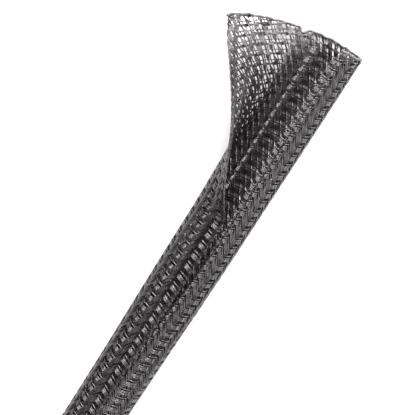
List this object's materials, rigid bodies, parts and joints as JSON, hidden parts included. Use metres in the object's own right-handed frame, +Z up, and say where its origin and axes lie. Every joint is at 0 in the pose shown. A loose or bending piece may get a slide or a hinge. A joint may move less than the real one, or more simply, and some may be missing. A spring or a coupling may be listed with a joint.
{
  "type": "braided cable sleeve",
  "caption": "Split self-closing braided sleeve: a monofilament mesh sheet rolled into a tube, with one end pulled open as a flap.",
  "frame": {"origin": "centre of the bounding box, on the surface that the sleeve lies on", "axes": "+X along the sleeve towards its opened mouth, +Y the side that the flap falls to, +Z up"},
  "size_m": [0.305, 0.0318, 0.0213],
  "materials": {
    "black_braid": "black polyester monofilament braid, semi-gloss"
  },
  "bodies": {
    "root": {"braided_sleeve": "black_braid"}
  },
  "joints": []
}
